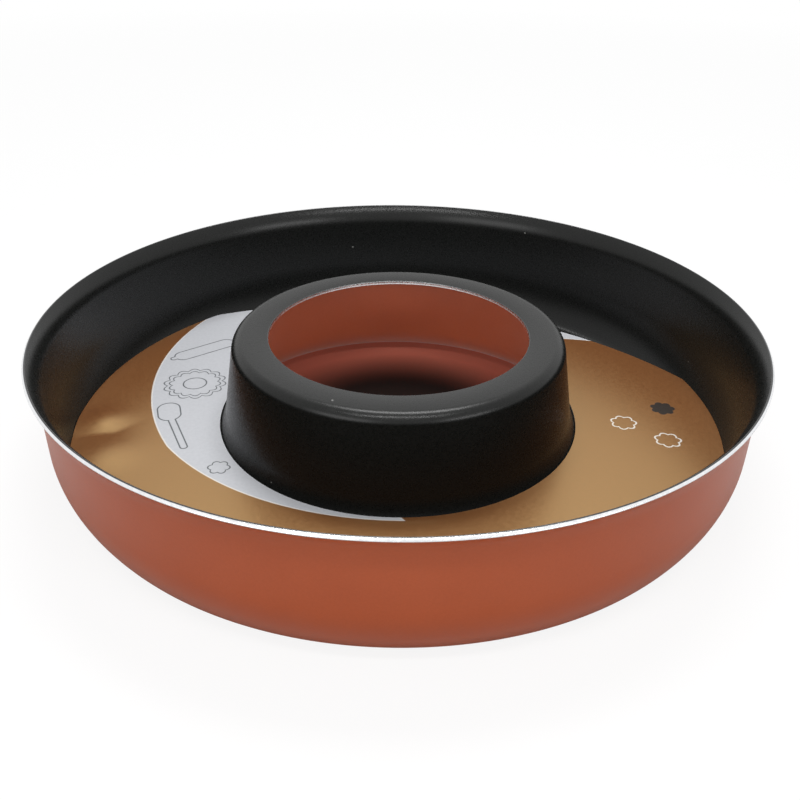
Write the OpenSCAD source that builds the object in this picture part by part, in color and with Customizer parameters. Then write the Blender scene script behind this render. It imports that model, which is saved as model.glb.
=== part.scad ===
// Ring cake mould pressed from one aluminium sheet, with the printed card ring that lies in it.
// The axis of the mould is Z, and the flat ring that it stands on lies on the plane z = 0.
// The section of the sheet is walked along its inside face, from the hole over the tube to the lip.

/* [Rim] */
// Overall diameter over the lip
rim_d = 280; // [260:1:320]
// Overall height from the table to the top of the lip
mould_h = 52.3; // [49:0.1:80]
// Thickness of the sheet
sheet = 1.5; // [0.8:0.1:2]
// Radius of the bend that turns the lip outwards, on the inside face
lip_r = 13; // [6:0.5:16]
// Angle that the lip turns outwards from the wall
lip_turn = 43; // [20:1:60]
// Width taken off both corners of each trimmed edge
edge_break = 0.35; // [0.1:0.05:0.38]

/* [Outer wall] */
// Angle that the wall leans outwards from upright
wall_draft = 0.5; // [0:0.1:6]
// Radius of the long soft bend at the foot of the wall, on the inside face
bulge_r = 32.8; // [20:0.1:34]
// Radius of the tighter bend next to the base, on the inside face
corner_r = 7.2; // [3:0.1:12]
// Angle that the tighter bend turns before the long one takes over
corner_turn = 55; // [40:1:70]

/* [Tube] */
// Diameter at which the tube's wall would meet the floor if it had no fillet
tube_foot_d = 145.4; // [120:0.1:160]
// Height from the table to the flat top of the tube
tube_h = 45; // [36:0.1:60]
// Angle that the tube's wall leans inwards from upright
tube_draft = 9; // [2:0.5:12]
// Radius of the fillet between the floor and the tube, on the inside face
foot_r = 15; // [6:0.5:17]
// Radius of the rounded shoulder at the top of the tube
shoulder_r = 4.5; // [2.5:0.1:8]
// Width of the folded-in top, from its hole to the line of the tube's wall
top_ring_w = 14.1; // [9:0.1:30]

/* [Card ring] */
// Thickness of the card
card_t = 0.4; // [0.3:0.05:0.6]
// Room between the foot of the outer wall and the card's round edge
card_edge_room = 3.9; // [2:0.1:12]
// Room between the foot of the tube and the card's hole
card_hole_room = 0.8; // [0.3:0.1:6]
// Radius of the flatter cut along the back of the card
card_back_r = 177; // [150:1:200]
// Width of the card at its narrowest place, from its hole to that cut
card_back_w = 32.5; // [22:0.5:52]
// Direction of that narrowest place, counted from the right
card_back_turn = 74; // [0:1:359]
// Gap left where the card touches the coating
card_gap = 0.1; // [0.05:0.05:0.3]

/* [Hidden] */
$fn = 180;
// Largest turn of the section between two of its points
arc_step = 3;

// The tube: both of its bends turn through the angle between the flat and the leaning wall
tube_turn = 90 - tube_draft;
shoulder_set = shoulder_r * tan(tube_turn / 2);
foot_set = foot_r * tan(tube_turn / 2);
tube_slant = (tube_h - sheet) / cos(tube_draft);
tube_top_r = tube_foot_d / 2 - (tube_h - sheet) * tan(tube_draft);
hole_r = tube_top_r - top_ring_w;
top_flat_l = top_ring_w - shoulder_set;
tube_wall_l = tube_slant - shoulder_set - foot_set;
foot_centre_r = tube_foot_d / 2 + foot_set;

// The lip: directions are counted from level, and the trimmed edge is square to the sheet
wall_dir = 90 - wall_draft;
lip_dir = wall_dir - lip_turn;
lip_out = lip_r * (sin(wall_dir) - sin(lip_dir));
lip_up = lip_r * (cos(lip_dir) - cos(wall_dir));
lip_land = 2 * edge_break;
edge_out = lip_land * cos(lip_dir) + (sheet - edge_break) * sin(lip_dir);
edge_up = max((lip_land - edge_break) * sin(lip_dir), lip_land * sin(lip_dir) - edge_break * cos(lip_dir));

// The outer wall and its two bends, closed between the lip and the floor
wall_top_r = rim_d / 2 - edge_out - lip_out;
bulge_turn = wall_dir - corner_turn;
bends_out = corner_r * sin(corner_turn) + bulge_r * (sin(wall_dir) - sin(corner_turn));
bends_up = corner_r * (1 - cos(corner_turn)) + bulge_r * (cos(corner_turn) - cos(wall_dir));
wall_l = (mould_h - edge_up - lip_up - bends_up - sheet) / cos(wall_draft);
wall_foot_r = wall_top_r - wall_l * sin(wall_draft);
floor_end_r = wall_foot_r - bends_out;
floor_l = floor_end_r - foot_centre_r;

// The card lies where its hole meets the tube's fillet or its edge meets the soft corner, whichever is higher
card_r = wall_foot_r - card_edge_room;
card_hole_r = tube_foot_d / 2 + card_hole_room;
bulge_centre_r = wall_foot_r - bulge_r * sin(wall_dir);
bulge_centre_z = sheet + bends_up + bulge_r * cos(wall_dir);
card_on_foot = sheet + foot_r - sqrt(pow(foot_r, 2) - pow(max(foot_centre_r - card_hole_r, 0), 2));
card_on_bulge = bulge_centre_z - sqrt(pow(bulge_r, 2) - pow(card_r - bulge_centre_r, 2));
card_z = max(card_on_foot, card_on_bulge) + card_gap;
card_back_offset = card_hole_r + card_back_w - card_back_r;

// One straight stretch of the walk, as a step of [length, turn]
function straight(l) = [[l, 0]];

// A bend of the walk with radius r on the inside face, towards that face or away from it if the angle is negative
function bend(r, angle) =
    let (n = ceil(abs(angle) / arc_step))
    [for (i = [1:n]) [2 * r * sin(abs(angle) / n / 2), angle / n]];

// The point that lies along the heading from a station and across it, towards the outside face
function beside(station, along, across) =
    station[0] + along * [cos(station[1]), sin(station[1])] + across * [sin(station[1]), -cos(station[1])];

// The walk along the inside face, from the hole's edge over the shoulder and the floor to the lip's edge
walk = concat(
    straight(top_flat_l - edge_break),
    bend(shoulder_r, -tube_turn),
    straight(tube_wall_l),
    bend(foot_r, tube_turn),
    straight(floor_l),
    bend(corner_r, corner_turn),
    bend(bulge_r, bulge_turn),
    straight(wall_l),
    bend(lip_r, -lip_turn),
    straight(lip_land - edge_break)
);

function step_length(i) = i < len(walk) ? walk[i][0] : 0;
function step_turn(i) = i < len(walk) ? walk[i][1] : 0;

// Each station of the walk is [point, heading]
stations = [
    for (
        i = 0, p = [hole_r + edge_break, tube_h], heading = 0;
        i <= len(walk);
        p = p + step_length(i) * [cos(heading + step_turn(i) / 2), sin(heading + step_turn(i) / 2)],
        heading = heading + step_turn(i),
        i = i + 1
    )
    [p, heading]
];

// The whole section, with both corners broken on each trimmed edge
module section() {
    last = len(stations) - 1;
    polygon(concat(
        [for (s = stations) s[0]],
        [beside(stations[last], edge_break, edge_break), beside(stations[last], edge_break, sheet - edge_break)],
        [for (i = [last:-1:0]) beside(stations[i], 0, sheet)],
        [beside(stations[0], -edge_break, sheet - edge_break), beside(stations[0], -edge_break, edge_break)]
    ));
}

// The pressed mould, one sheet turned round the axis
module mould() {
    color([0.63, 0.35, 0.24]) rotate_extrude() section();
}

// The card ring: a round sheet with a flatter back and a hole that clears the tube
module card_ring() {
    color([0.68, 0.53, 0.37])
        translate([0, 0, card_z])
        linear_extrude(card_t)
        difference() {
            intersection() {
                circle(card_r);
                rotate(card_back_turn) translate([card_back_offset, 0]) circle(card_back_r);
            }
            circle(card_hole_r);
        }
}

mould();
card_ring();
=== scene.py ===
from math import atan2, ceil, cos, exp, pi, radians, sin, sqrt, tan

import bpy
from mathutils import Matrix, Vector


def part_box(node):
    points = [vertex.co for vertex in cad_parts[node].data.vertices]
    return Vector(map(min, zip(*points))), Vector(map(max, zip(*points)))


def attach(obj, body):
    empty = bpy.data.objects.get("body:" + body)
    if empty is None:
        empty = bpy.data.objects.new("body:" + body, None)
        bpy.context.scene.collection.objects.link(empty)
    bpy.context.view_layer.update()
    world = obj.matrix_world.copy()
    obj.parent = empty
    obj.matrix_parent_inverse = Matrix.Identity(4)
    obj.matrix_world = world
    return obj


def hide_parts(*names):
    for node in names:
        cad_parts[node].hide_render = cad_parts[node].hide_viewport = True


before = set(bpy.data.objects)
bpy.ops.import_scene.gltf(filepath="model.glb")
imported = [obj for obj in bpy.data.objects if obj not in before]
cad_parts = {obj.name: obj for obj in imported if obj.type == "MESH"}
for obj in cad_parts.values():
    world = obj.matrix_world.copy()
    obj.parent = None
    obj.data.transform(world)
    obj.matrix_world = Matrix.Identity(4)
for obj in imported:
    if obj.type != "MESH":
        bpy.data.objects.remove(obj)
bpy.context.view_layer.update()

MM = 0.001

# The sheet of the mould and its bends, as in the part's source
SHEET = 1.5 * MM
EDGE_BREAK = 0.35 * MM
LIP_R = 13 * MM
LIP_TURN = 43
WALL_DRAFT = 0.5
BULGE_R = 32.8 * MM
CORNER_R = 7.2 * MM
CORNER_TURN = 55
TUBE_FOOT_R = 72.7 * MM
TUBE_DRAFT = 9
FOOT_R = 15 * MM
SHOULDER_R = 4.5 * MM
HOLE_R = 51.71 * MM
TUBE_H = 45 * MM

# How finely the mould is made: the largest turn of one chord, and the faces round the axis
ARC_STEP = 3
ROUND_STEPS = 256

# Points closer than this become one, and faces that meet at less than this angle are shaded as one
WELD = 0.01 * MM
SMOOTH_ANGLE = 35

# Sharper edges than this are cut edges and rounded; the lip's then stands out past the source's flat corners
EDGE_ANGLE = 60
EDGE_SEGMENTS = 3
LIP_ROUND = 0.12 * MM

# The card ring, the flatter cut along its back, and how finely it is made outwards and round
CARD_HOLE_R = 73.5 * MM
CARD_BACK_R = 177 * MM
CARD_BACK_W = 32.5 * MM
CARD_BACK_TURN = 74
CARD_T = 0.4 * MM
CARD_RINGS = 46
CARD_STEPS = 480

# Where the card is buckled at its left: hills of (x, y, width, height), and the sharp crease between them
HILLS = ((-121 * MM, -11 * MM, 9 * MM, 1.6 * MM), (-113 * MM, -35 * MM, 12 * MM, 1.3 * MM))
CREASE = ((-129 * MM, -24 * MM), (-113 * MM, -20.7 * MM), (-104 * MM, -11 * MM))
CREASE_WIDTH = 3.5 * MM

# The card's pale crescent lies inside the first two circles of (x, y, radius) and outside the third
CRESCENT = ((17.1 * MM, 35.9 * MM, 125.5 * MM), (1.2 * MM, 39 * MM, 114.1 * MM))
CRESCENT_BITE = (73.1 * MM, -19.3 * MM, 89.9 * MM)
CRESCENT_LINE = 0.6 * MM

# The tools drawn on the crescent: bars of (start, end, radius), flowers of (x, y, radius, wave, petals)
INK_LINE = 0.55 * MM
INK_STRENGTH = 0.9
PRINT_SOFTNESS = 0.12 * MM
ROLLER = ((-100 * MM, 47.5 * MM), (-83 * MM, 60.7 * MM), 4.2 * MM)
ROLLER_HANDLES = ((-104 * MM, 44.4 * MM), (-77 * MM, 65.4 * MM), 1.4 * MM)
CUTTER_EDGE = (-89.5 * MM, 21 * MM, 13.5 * MM, 1.8 * MM, 14)
CUTTER_RIB = (-89.5 * MM, 21 * MM, 11.2 * MM, 1.5 * MM, 14)
CUTTER_HOLE = (-89.5 * MM, 21 * MM, 5 * MM)
SPOON_BOWL = ((-96 * MM, -1 * MM), (-94.5 * MM, -6 * MM), 4.6 * MM)
SPOON_HANDLE = ((-94.5 * MM, -6 * MM), (-83.5 * MM, -30 * MM), 1.4 * MM)
SMALL_FLOWER = (-67.2 * MM, -44 * MM, 4.2 * MM, 1.0 * MM, 6)

# The three small flowers on the copper: two are drawn and one is filled
MARK_LINE = 0.7 * MM
MARK_PLACES = ((93 * MM, -8 * MM), (108 * MM, -21 * MM))
DARK_MARK_PLACE = (112 * MM, 4 * MM)
MARK_SHAPE = (5.2 * MM, 1.1 * MM, 7)

# Colours; a pair is the two tones that a finish wanders between, or the floor's from the axis outwards
WHITE = (1, 1, 1, 1)
BLACK_COAT = ((0.006, 0.0064, 0.006, 1), (0.0082, 0.0086, 0.008, 1))
DUST = (0.25, 0.25, 0.24, 1)
TERRACOTTA_COAT = ((0.36, 0.064, 0.014, 1), (0.41, 0.078, 0.020, 1))
ALUMINIUM = ((0.80, 0.81, 0.83, 1), (0.88, 0.89, 0.90, 1))
COAT_ON_METAL = (0.03, 0.03, 0.03, 1)
COPPER_INK = ((0.150, 0.043, 0.011, 1), (0.170, 0.049, 0.013, 1))
COPPER_SHINE = (1.0, 0.74, 0.34, 1)
PALE_INK = ((0.54, 0.55, 0.58, 1), (0.58, 0.59, 0.62, 1))
CRESCENT_INK = (0.74, 0.72, 0.70, 1)
TOOL_INK = (0.045, 0.055, 0.062, 1)
MARK_INK = (0.78, 0.77, 0.76, 1)
DARK_MARK_INK = (0.03, 0.022, 0.017, 1)
CARD_BOARD = ((0.66, 0.65, 0.62, 1), (0.76, 0.75, 0.72, 1))
FLOOR_SHOWN = ((0.90, 0.90, 0.90, 1), (0.91, 0.91, 0.91, 1))
FLOOR_GIVES_BACK = ((0.75, 0.75, 0.75, 1), (0.55, 0.55, 0.55, 1))
# Painted shade and painted bounce on the floor inside the tube: dark at the axis, terracotta towards the
# tube's wall
FLOOR_PAINTED_SHADE_IN_TUBE = ((0.015, 0.010, 0.009, 1), (0.50, 0.16, 0.11, 1))
# The painted glow under the tube's foot, as the camera sees it
FLOOR_FILL = (0.42, 0.13, 0.09, 1)

# How strongly gloss mirrors: copper ink nearly as metal does, and the black coating the least
COPPER_IOR = 3.0
PLAIN_IOR = 1.45
BLACK_IOR = 1.33

# The coatings' grain, in grains to the metre, and the turn and stretch of the black one's strokes
COAT_GRAIN = 1700
GRAIN_DEPTH = 0.05 * MM
STROKE_TURN = (0.5, 0.4, 0.7)
STROKE_STRETCH = (0.3, 1, 1)

# Where the coating wraps the cut edges: by the hole, and how far below the top of the tube and of the lip
WRAP_REACH = (HOLE_R + 4 * MM, HOLE_R + 5 * MM)
WRAP_BELOW_TUBE = (0.34 * MM, 0.24 * MM)
WRAP_BELOW_LIP = (0.22 * MM, 0.14 * MM)
WRAP_STRENGTH = 0.93

# The camera: its lens, its distance to the point that it looks at, and where that point is
CAMERA_LENS = 40.188
SENSOR_WIDTH = 36
CAMERA_NEAR = 10 * MM
CAMERA_DISTANCE = 372.33 * MM
CAMERA_HEIGHT_ANGLE = 29.969
CAMERA_ROLL = 0.685
CAMERA_SIDE = 0.785 * MM
CAMERA_LOOK_HEIGHT = 13.255 * MM

# The light all round, and the softboxes as place, size and watts
WORLD_LEVEL = 0.42
SOFTBOX_AIM = (0, 0, 0.02)
SOFTBOXES = {
    "overhead": ((0.05, 0.45, 1.3), (0.7, 0.35), 10),
    "front_top": ((0, -0.35, 0.75), (0.6, 0.06), 2.2),
    "front_left": ((-0.9, -1.3, 0.6), (1.0, 0.6), 5.5),
    "front_right": ((1.1, -1.15, 0.5), (0.8, 0.35), 4.4),
}

# The floor; each pair is where a change starts and ends, as a distance from the mould's axis
FLOOR_SIZE = 12
FLOOR_DROP = 0.1 * MM
# Where the painted shade inside the tube turns into the painted terracotta bounce
PAINTED_SHADE_REACH = (38 * MM, 68 * MM)
OUTSIDE_REACH = (85 * MM, 110 * MM)
FILL_REACH = (68 * MM, 82 * MM)
FILL_STRENGTH = 0.17
MIRRORED_REACH = (140 * MM, 350 * MM)
WHITE_REACH = (0.5, 1.5)
# How much of the floor is plain white to the camera near the mould
FLOOR_WHITE = 0.87


# Modelling steps

def start_piece(name):
    """A new mesh object of one vertex at the origin, open in edit mode."""
    bpy.ops.object.select_all(action="DESELECT")
    bpy.ops.mesh.primitive_plane_add(size=0.01, location=(0, 0, 0))
    piece = bpy.context.object
    piece.name = piece.data.name = name
    bpy.ops.object.mode_set(mode="EDIT")
    bpy.ops.mesh.select_all(action="SELECT")
    bpy.ops.mesh.merge(type="CENTER")
    return piece


def face_up(face):
    """Turns the whole open sheet over if this face of its upper side points down."""
    if face.normal.z < 0:
        bpy.ops.object.mode_set(mode="EDIT")
        bpy.ops.mesh.select_all(action="SELECT")
        bpy.ops.mesh.flip_normals()
        bpy.ops.object.mode_set(mode="OBJECT")


def finish(piece):
    """Applies the modifiers and shades the soft bends smooth."""
    bpy.ops.object.select_all(action="DESELECT")
    piece.select_set(True)
    bpy.context.view_layer.objects.active = piece
    for modifier in list(piece.modifiers):
        bpy.ops.object.modifier_apply(modifier=modifier.name)
    bpy.ops.object.shade_smooth_by_angle(angle=radians(SMOOTH_ANGLE))


# The mould

def bend(radius, angle):
    """The short chords of one bend, each as (length, turn)."""
    count = ceil(abs(angle) / ARC_STEP)
    chord = 2 * radius * sin(radians(abs(angle) / count / 2))
    return [(chord, angle / count)] * count


def sheet_walk():
    """The inside face of the sheet from the hole over the tube to the lip, as steps of (length, turn).

    The floor is walked in three steps and the outer wall in two, to keep their faces short.
    """
    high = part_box("mould")[1]
    rim_r = high.x - LIP_ROUND
    mould_h = high.z - LIP_ROUND
    tube_turn = 90 - TUBE_DRAFT
    set_back = tan(radians(tube_turn / 2))
    slant = (TUBE_H - SHEET) / cos(radians(TUBE_DRAFT))
    tube_top_r = TUBE_FOOT_R - (TUBE_H - SHEET) * tan(radians(TUBE_DRAFT))
    wall_dir = radians(90 - WALL_DRAFT)
    lip_dir = wall_dir - radians(LIP_TURN)
    land = 2 * EDGE_BREAK
    lip_out = LIP_R * (sin(wall_dir) - sin(lip_dir))
    lip_up = LIP_R * (cos(lip_dir) - cos(wall_dir))
    edge_out = land * cos(lip_dir) + (SHEET - EDGE_BREAK) * sin(lip_dir)
    edge_up = max((land - EDGE_BREAK) * sin(lip_dir), land * sin(lip_dir) - EDGE_BREAK * cos(lip_dir))
    corner = radians(CORNER_TURN)
    bends_out = CORNER_R * sin(corner) + BULGE_R * (sin(wall_dir) - sin(corner))
    bends_up = CORNER_R * (1 - cos(corner)) + BULGE_R * (cos(corner) - cos(wall_dir))
    wall_length = (mould_h - edge_up - lip_up - bends_up - SHEET) / cos(radians(WALL_DRAFT))
    wall_foot_r = rim_r - edge_out - lip_out - wall_length * sin(radians(WALL_DRAFT))
    floor_length = wall_foot_r - bends_out - TUBE_FOOT_R - FOOT_R * set_back
    steps = [(tube_top_r - SHOULDER_R * set_back - HOLE_R, 0)]
    steps += bend(SHOULDER_R, -tube_turn)
    steps += [(slant - (SHOULDER_R + FOOT_R) * set_back, 0)]
    steps += bend(FOOT_R, tube_turn)
    steps += [(floor_length / 3, 0)] * 3
    steps += bend(CORNER_R, CORNER_TURN)
    steps += bend(BULGE_R, 90 - WALL_DRAFT - CORNER_TURN)
    steps += [(wall_length / 2, 0)] * 2
    steps += bend(LIP_R, -LIP_TURN)
    steps += [(land, 0)]
    return steps


def spin_sheet():
    """The sheet's section is drawn from the hole outwards and spun round the axis."""
    piece = start_piece("ring_mould")
    bpy.ops.transform.translate(value=(HOLE_R, 0, TUBE_H))
    heading = 0
    for length, turn in sheet_walk():
        along = radians(heading + turn / 2)
        step = (length * cos(along), 0, length * sin(along))
        bpy.ops.mesh.extrude_region_move(TRANSFORM_OT_translate={"value": step})
        heading += turn
    bpy.ops.mesh.select_all(action="SELECT")
    bpy.ops.mesh.spin(steps=ROUND_STEPS, angle=2 * pi, center=(0, 0, 0), axis=(0, 0, 1))
    bpy.ops.mesh.select_all(action="SELECT")
    bpy.ops.mesh.remove_doubles(threshold=WELD)
    bpy.ops.mesh.normals_make_consistent(inside=False)
    bpy.ops.object.mode_set(mode="OBJECT")
    face_up(min(piece.data.polygons, key=lambda face: face.center.z))
    return piece


def press_mould():
    """The spun sheet gets its thickness, its coatings and its rounded cut edges."""
    piece = spin_sheet()
    for material in (black_coating(), terracotta_coating(), bare_aluminium()):
        piece.data.materials.append(material)
    wall = piece.modifiers.new("wall", "SOLIDIFY")
    wall.thickness = SHEET
    wall.offset = -1
    wall.use_even_offset = True
    wall.material_offset = 1
    wall.material_offset_rim = 2
    trimmed = piece.modifiers.new("trimmed edges", "BEVEL")
    trimmed.limit_method = "ANGLE"
    trimmed.angle_limit = radians(EDGE_ANGLE)
    trimmed.width = EDGE_BREAK
    trimmed.segments = EDGE_SEGMENTS
    trimmed.material = 2
    finish(piece)
    return piece


# The card ring

def card_edge(angle, round_r):
    """Radius of the card's outline in one direction, on the round edge or on the flatter back."""
    turned = angle - radians(CARD_BACK_TURN)
    shift = CARD_HOLE_R + CARD_BACK_W - CARD_BACK_R
    return min(round_r, shift * cos(turned) + sqrt(CARD_BACK_R ** 2 - (shift * sin(turned)) ** 2))


def crease_distance(point):
    """Distance from the crease in the card's plane."""
    nearest = 1
    for start, end in zip(CREASE, CREASE[1:]):
        start, end = Vector(start), Vector(end)
        along = max(0, min(1, (point - start).dot(end - start) / (end - start).length_squared))
        nearest = min(nearest, (point - start.lerp(end, along)).length)
    return nearest


def buckle(point):
    """Height of the card over its flat state at one place."""
    height = 0
    for x, y, width, top in HILLS:
        height += top * exp(-((point.x - x) ** 2 + (point.y - y) ** 2) / width ** 2)
    return height * (1 - exp(-crease_distance(point) / CREASE_WIDTH))


def spread_rings(round_r):
    """A flat round ring of faces, grown outwards from the card's hole."""
    bpy.ops.object.select_all(action="DESELECT")
    bpy.ops.mesh.primitive_circle_add(vertices=CARD_STEPS, radius=CARD_HOLE_R, location=(0, 0, 0))
    piece = bpy.context.object
    piece.name = piece.data.name = "printed_card_ring"
    bpy.ops.object.mode_set(mode="EDIT")
    radii = [CARD_HOLE_R + (round_r - CARD_HOLE_R) * ring / CARD_RINGS for ring in range(CARD_RINGS + 1)]
    for inner, outer in zip(radii, radii[1:]):
        bpy.ops.mesh.extrude_region_move()
        bpy.ops.transform.resize(value=(outer / inner, outer / inner, 1), center_override=(0, 0, 0))
    bpy.ops.mesh.select_all(action="SELECT")
    bpy.ops.mesh.normals_make_consistent(inside=False)
    bpy.ops.object.mode_set(mode="OBJECT")
    return piece


def cut_card():
    """The ring of faces is drawn in to the card's outline, buckled and given its thickness.

    The cut along the back spares the left side, so the card's box ends there at the round edge.
    """
    low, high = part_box("card_ring")
    round_r = -low.x
    piece = spread_rings(round_r)
    for vertex in piece.data.vertices:
        point = vertex.co.to_2d()
        edge = card_edge(atan2(point.y, point.x), round_r)
        share = (point.length - CARD_HOLE_R) / (round_r - CARD_HOLE_R)
        point *= (CARD_HOLE_R + share * (edge - CARD_HOLE_R)) / point.length
        vertex.co = (point.x, point.y, high.z + buckle(point))
    face_up(piece.data.polygons[0])
    for material in (printed_card(), bare_card()):
        piece.data.materials.append(material)
    sheet = piece.modifiers.new("sheet", "SOLIDIFY")
    sheet.thickness = CARD_T
    sheet.offset = -1
    sheet.material_offset = 1
    sheet.material_offset_rim = 1
    finish(piece)
    return piece


# Materials

class Paint:
    """Builds one material's nodes, step by step."""

    def __init__(self, name):
        self.material = bpy.data.materials.new(name)
        self.material.use_nodes = True
        self.nodes = self.material.node_tree.nodes
        self.links = self.material.node_tree.links
        self.shader = self.nodes["Principled BSDF"]
        self.place = self.nodes.new("ShaderNodeTexCoord").outputs["Object"]
        self.x, self.y, self.z = self.node("ShaderNodeSeparateXYZ", Vector=self.place).outputs

    def feed(self, socket, value):
        if isinstance(value, bpy.types.NodeSocket):
            self.links.new(value, socket)
        else:
            socket.default_value = value

    def node(self, kind, **inputs):
        made = self.nodes.new(kind)
        for key, value in inputs.items():
            self.feed(made.inputs[key.replace("_", " ")], value)
        return made

    def maths(self, operation, *values):
        made = self.nodes.new("ShaderNodeMath")
        made.operation = operation
        for socket, value in zip(made.inputs, values):
            self.feed(socket, value)
        return made.outputs[0]

    def from_axis(self):
        """Distance from the mould's axis."""
        squares = [self.maths("POWER", side, 2.0) for side in (self.x, self.y)]
        return self.maths("SQRT", self.maths("ADD", *squares))

    def noise(self, scale, detail, vector=None):
        made = self.node("ShaderNodeTexNoise", Vector=vector or self.place, Scale=scale, Detail=detail)
        return made.outputs["Fac"]

    def between(self, value, low, high, to_low=0.0, to_high=1.0):
        made = self.node("ShaderNodeMapRange", Value=value)
        for name, number in (("From Min", low), ("From Max", high), ("To Min", to_low), ("To Max", to_high)):
            self.feed(made.inputs[name], number)
        return made.outputs["Result"]

    def wander(self, noise, to_low=0.0, to_high=1.0, reach=0.2):
        """The middle of a noise, as far as reach to both sides of one half, spread over a range."""
        return self.between(noise, 0.5 - reach, 0.5 + reach, to_low, to_high)

    def mix(self, share, first, second):
        made = self.nodes.new("ShaderNodeMix")
        made.data_type = "RGBA"
        self.feed(made.inputs["Factor"], share)
        self.feed(made.inputs["A"], first)
        self.feed(made.inputs["B"], second)
        return made.outputs["Result"]

    def bump(self, height, strength, distance):
        made = self.node("ShaderNodeBump", Height=height, Strength=strength, Distance=distance)
        return made.outputs["Normal"]

    def set(self, **inputs):
        for key, value in inputs.items():
            self.feed(self.shader.inputs[key.replace("_", " ")], value)
        return self.material


def black_coating():
    """Satin non-stick coating with a stroked grain and a little dust."""
    paint = Paint("black_non_stick_coating")
    strokes = paint.node("ShaderNodeMapping", Vector=paint.place, Rotation=STROKE_TURN, Scale=STROKE_STRETCH)
    grain = paint.noise(COAT_GRAIN, 2, strokes.outputs[0])
    speckle = paint.noise(900, 3)
    dust = paint.between(paint.noise(260, 1), 0.815, 0.835)
    tone = paint.mix(dust, paint.mix(paint.wander(speckle, reach=0.15), *BLACK_COAT), DUST)
    gloss = paint.wander(speckle, 0.26, 0.30)
    relief = paint.bump(grain, 0.3, GRAIN_DEPTH)
    return paint.set(Base_Color=tone, Roughness=gloss, IOR=BLACK_IOR, Normal=relief)


def terracotta_coating():
    """Satin coating with a fine speckle over soft clouds."""
    paint = Paint("terracotta_coating")
    grain = paint.noise(COAT_GRAIN, 2)
    speckle = paint.noise(1300, 3)
    cloud = paint.wander(paint.noise(45, 2), 0.0, 0.35)
    share = paint.maths("ADD", cloud, paint.wander(speckle, 0.0, 0.65, reach=0.25))
    tone = paint.mix(share, *TERRACOTTA_COAT)
    gloss = paint.wander(speckle, 0.30, 0.34)
    relief = paint.bump(grain, 0.15, GRAIN_DEPTH)
    return paint.set(Base_Color=tone, Roughness=gloss, IOR=PLAIN_IOR, Normal=relief)


def bare_aluminium():
    """Cut metal; the coating wraps the top corners of both cut edges and dulls the metal there."""
    paint = Paint("bare_aluminium")
    streak = paint.noise(900, 2)
    metal = paint.mix(paint.wander(streak), *ALUMINIUM)
    by_hole = paint.between(paint.from_axis(), *WRAP_REACH, 1.0, 0.0)
    by_tube_top = paint.between(paint.z, *(TUBE_H - drop for drop in WRAP_BELOW_TUBE))
    lip_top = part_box("mould")[1].z
    by_lip_top = paint.between(paint.z, *(lip_top - drop for drop in WRAP_BELOW_LIP))
    wrapped = paint.maths("MAXIMUM", paint.maths("MULTIPLY", by_hole, by_tube_top), by_lip_top)
    tone = paint.mix(paint.maths("MULTIPLY", wrapped, WRAP_STRENGTH), metal, COAT_ON_METAL)
    return paint.set(Base_Color=tone, Metallic=1.0, Roughness=paint.wander(streak, 0.2, 0.32))


class Print(Paint):
    """Paint with outlines: each outline is the distance from its own line, in metres and negative inside."""

    def __init__(self, name):
        super().__init__(name)
        self.flat = self.node("ShaderNodeCombineXYZ", X=self.x, Y=self.y).outputs[0]

    def vector(self, operation, first, second, result=0):
        made = self.nodes.new("ShaderNodeVectorMath")
        made.operation = operation
        self.feed(made.inputs[0], first)
        self.feed(made.inputs["Scale"] if operation == "SCALE" else made.inputs[1], second)
        return made.outputs[result]

    def disc(self, x, y, radius):
        reach = self.vector("DISTANCE", self.flat, (x, y, 0), "Value")
        return self.maths("SUBTRACT", reach, radius)

    def flower(self, x, y, radius, wave, petals):
        """A round with scallops all along its edge."""
        angle = self.maths("ARCTAN2", self.maths("SUBTRACT", self.y, y), self.maths("SUBTRACT", self.x, x))
        lobes = self.maths("ABSOLUTE", self.maths("COSINE", self.maths("MULTIPLY", angle, petals / 2)))
        return self.maths("SUBTRACT", self.disc(x, y, radius - wave), self.maths("MULTIPLY", lobes, wave))

    def bar(self, start, end, radius):
        """A bar with round ends."""
        start, end = Vector((*start, 0)), Vector((*end, 0))
        run = end - start
        past = self.vector("SUBTRACT", self.flat, start)
        share = self.maths("DIVIDE", self.vector("DOT_PRODUCT", past, run, "Value"), run.length_squared)
        share = self.maths("MINIMUM", self.maths("MAXIMUM", share, 0.0), 1.0)
        nearest = self.vector("SCALE", run, share)
        return self.maths("SUBTRACT", self.vector("DISTANCE", past, nearest, "Value"), radius)

    def joined(self, first, second):
        return self.maths("MINIMUM", first, second)

    def inside(self, outline):
        return self.between(outline, -PRINT_SOFTNESS, PRINT_SOFTNESS, 1.0, 0.0)

    def drawn(self, outline, width):
        return self.between(self.maths("ABSOLUTE", outline), 0.3 * width, 0.7 * width, 1.0, 0.0)


def drawn_tools(paint):
    """The outlines of a rolling pin, a scalloped cutter, a spoon and a small flower."""
    return (
        paint.joined(paint.bar(*ROLLER), paint.bar(*ROLLER_HANDLES)),
        paint.flower(*CUTTER_EDGE),
        paint.flower(*CUTTER_RIB),
        paint.disc(*CUTTER_HOLE),
        paint.joined(paint.bar(*SPOON_BOWL), paint.bar(*SPOON_HANDLE)),
        paint.flower(*SMALL_FLOWER),
    )


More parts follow.
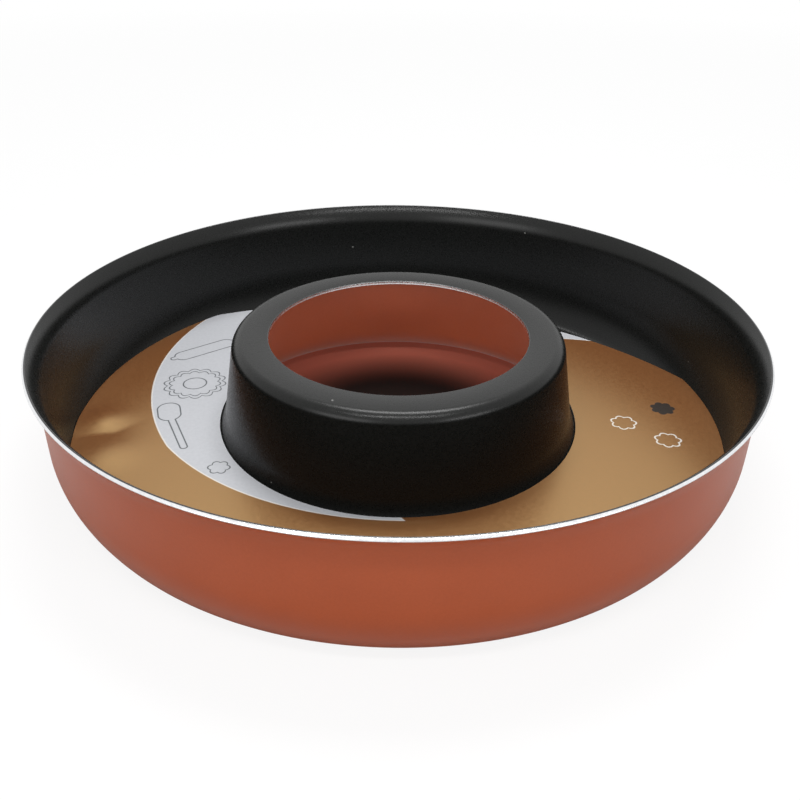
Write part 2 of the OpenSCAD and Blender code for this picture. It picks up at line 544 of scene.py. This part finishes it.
def printed_card():
    """Satin copper ink with a pale crescent, line drawings of baking tools and a few small marks."""
    paint = Print("printed_card")
    crescent = paint.maths("MAXIMUM", *(paint.disc(*circle) for circle in CRESCENT))
    crescent = paint.maths("MAXIMUM", crescent, paint.maths("MULTIPLY", paint.disc(*CRESCENT_BITE), -1.0))
    pale = paint.inside(crescent)
    fine = paint.noise(700, 3)
    copper, white = (paint.mix(paint.wander(fine), *ink) for ink in (COPPER_INK, PALE_INK))
    tone = paint.mix(pale, copper, white)
    tone = paint.mix(paint.drawn(crescent, CRESCENT_LINE), tone, CRESCENT_INK)
    for tool in drawn_tools(paint):
        tone = paint.mix(paint.maths("MULTIPLY", paint.drawn(tool, INK_LINE), INK_STRENGTH), tone, TOOL_INK)
    for place in MARK_PLACES:
        tone = paint.mix(paint.drawn(paint.flower(*place, *MARK_SHAPE), MARK_LINE), tone, MARK_INK)
    dark = paint.inside(paint.flower(*DARK_MARK_PLACE, *MARK_SHAPE))
    tone = paint.mix(dark, tone, DARK_MARK_INK)
    plain = paint.maths("MAXIMUM", pale, dark)
    shine = paint.mix(plain, COPPER_SHINE, WHITE)
    ior = paint.between(plain, 0.0, 1.0, COPPER_IOR, PLAIN_IOR)
    gloss = paint.wander(fine, 0.30, 0.36)
    relief = paint.bump(paint.noise(900, 2), 0.08, 0.03 * MM)
    return paint.set(Base_Color=tone, Specular_Tint=shine, IOR=ior, Roughness=gloss, Normal=relief)


def bare_card():
    """White fibrous card, on the underside and the cut edges."""
    paint = Paint("bare_card")
    fibre = paint.noise(500, 4)
    tone = paint.mix(paint.wander(fibre), *CARD_BOARD)
    return paint.set(Base_Color=tone, Roughness=0.85, Normal=paint.bump(fibre, 0.2, 0.05 * MM))


# The studio

def build_camera():
    """The photograph's view, from the front and above, with a roll of under a degree."""
    up_angle = radians(CAMERA_HEIGHT_ANGLE)
    forward = Vector((0, cos(up_angle), -sin(up_angle)))
    place = Vector((CAMERA_SIDE, 0, CAMERA_LOOK_HEIGHT)) - forward * CAMERA_DISTANCE
    level_right = Vector((1, 0, 0))
    level_up = level_right.cross(forward)
    turn = radians(CAMERA_ROLL)
    right = cos(turn) * level_right + sin(turn) * level_up
    up = cos(turn) * level_up - sin(turn) * level_right
    lens = bpy.data.cameras.new("camera")
    lens.lens = CAMERA_LENS
    lens.sensor_width = SENSOR_WIDTH
    lens.clip_start = CAMERA_NEAR
    camera = bpy.data.objects.new("camera", lens)
    camera.matrix_world = Matrix.Translation(place) @ Matrix((right, up, -forward)).transposed().to_4x4()
    bpy.context.scene.collection.objects.link(camera)
    bpy.context.scene.camera = camera


def build_world():
    """A plain level all round for the object, and plain white for what the camera, metal and gloss see."""
    world = bpy.data.worlds.new("studio")
    bpy.context.scene.world = world
    world.use_nodes = True
    nodes, links = world.node_tree.nodes, world.node_tree.links
    nodes.clear()
    ray = nodes.new("ShaderNodeLightPath").outputs
    seen = ray["Is Camera Ray"]
    for name in ("Is Glossy Ray", "Is Transmission Ray"):
        either = nodes.new("ShaderNodeMath")
        either.operation = "MAXIMUM"
        links.new(seen, either.inputs[0])
        links.new(ray[name], either.inputs[1])
        seen = either.outputs[0]
    mixed = nodes.new("ShaderNodeMixShader")
    links.new(seen, mixed.inputs["Fac"])
    for socket, strength in ((mixed.inputs[1], WORLD_LEVEL), (mixed.inputs[2], 1.0)):
        background = nodes.new("ShaderNodeBackground")
        background.inputs["Color"].default_value = WHITE
        background.inputs["Strength"].default_value = strength
        links.new(background.outputs[0], socket)
    out = nodes.new("ShaderNodeOutputWorld")
    links.new(mixed.outputs[0], out.inputs["Surface"])


def add_softbox(name, place, size, watts):
    lamp = bpy.data.lights.new(name, "AREA")
    lamp.shape = "RECTANGLE"
    lamp.size, lamp.size_y = size
    lamp.energy = watts
    box = bpy.data.objects.new(name, lamp)
    box.location = place
    box.rotation_euler = (Vector(SOFTBOX_AIM) - Vector(place)).to_track_quat("-Z", "Y").to_euler()
    bpy.context.scene.collection.objects.link(box)


def floor_finish():
    """Pale to the camera and white to gloss all round; inside the tube the camera sees painted shade, dark
    at the axis and turning to a painted terracotta bounce near the tube's wall.

    A faint fill under the tube's foot lightens the dark seam where the sheet meets the table.
    """
    paint = Paint("floor")
    reach = paint.from_axis()
    ray = paint.node("ShaderNodeLightPath").outputs
    outside = paint.between(reach, *OUTSIDE_REACH)
    within = paint.maths("SUBTRACT", 1.0, outside)
    # Painted shade inside the tube, dark at the axis, with a painted terracotta bounce from the tube's wall
    painted_shade_in_tube = paint.mix(paint.maths("POWER", paint.between(reach, *PAINTED_SHADE_REACH), 2.0), *FLOOR_PAINTED_SHADE_IN_TUBE)
    shown = paint.mix(paint.noise(3, 2), *FLOOR_SHOWN)
    pale = paint.mix(ray["Is Camera Ray"], paint.mix(outside, *FLOOR_GIVES_BACK), shown)
    tone = paint.mix(paint.maths("MULTIPLY", ray["Is Camera Ray"], within), pale, painted_shade_in_tube)
    paint.set(Base_Color=tone, Roughness=0.9, Specular_IOR_Level=0.0)
    mirrored = paint.maths("MAXIMUM", ray["Is Glossy Ray"], ray["Is Transmission Ray"])
    mirrored = paint.maths("MULTIPLY", mirrored, paint.between(reach, *MIRRORED_REACH))
    seen = paint.maths("MAXIMUM", paint.maths("MULTIPLY", ray["Is Camera Ray"], outside), mirrored)
    share = paint.maths("MULTIPLY", seen, paint.between(reach, *WHITE_REACH, FLOOR_WHITE, 1.0))
    glow = paint.node("ShaderNodeEmission", Color=WHITE, Strength=1.0)
    mixed = paint.node("ShaderNodeMixShader", Fac=share)
    paint.feed(mixed.inputs[1], paint.shader.outputs[0])
    paint.feed(mixed.inputs[2], glow.outputs[0])
    # Painted glow: the floor under the tube's foot gives off light, terracotta to the camera, as painted
    # fill for the dark seam
    under = paint.maths("MULTIPLY", within, paint.between(reach, *FILL_REACH))
    fill = paint.node("ShaderNodeEmission", Color=paint.mix(ray["Is Camera Ray"], WHITE, FLOOR_FILL),
                      Strength=paint.maths("MULTIPLY", under, FILL_STRENGTH))
    whole = paint.node("ShaderNodeAddShader")
    paint.feed(whole.inputs[0], mixed.outputs[0])
    paint.feed(whole.inputs[1], fill.outputs[0])
    paint.feed(paint.nodes["Material Output"].inputs["Surface"], whole.outputs[0])
    return paint.material


def lay_floor():
    bpy.ops.object.select_all(action="DESELECT")
    bpy.ops.mesh.primitive_plane_add(size=FLOOR_SIZE, location=(0, 0, -FLOOR_DROP))
    floor = bpy.context.object
    floor.name = "floor"
    bpy.ops.object.transform_apply(location=True)
    floor.data.materials.append(floor_finish())


bpy.context.scene.view_settings.view_transform = "Standard"
build_camera()
build_world()
for name, (place, size, watts) in SOFTBOXES.items():
    add_softbox(name, place, size, watts)
lay_floor()

mould = press_mould()
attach(mould, "root")
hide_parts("mould")

card = cut_card()
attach(card, "root")
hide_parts("card_ring")
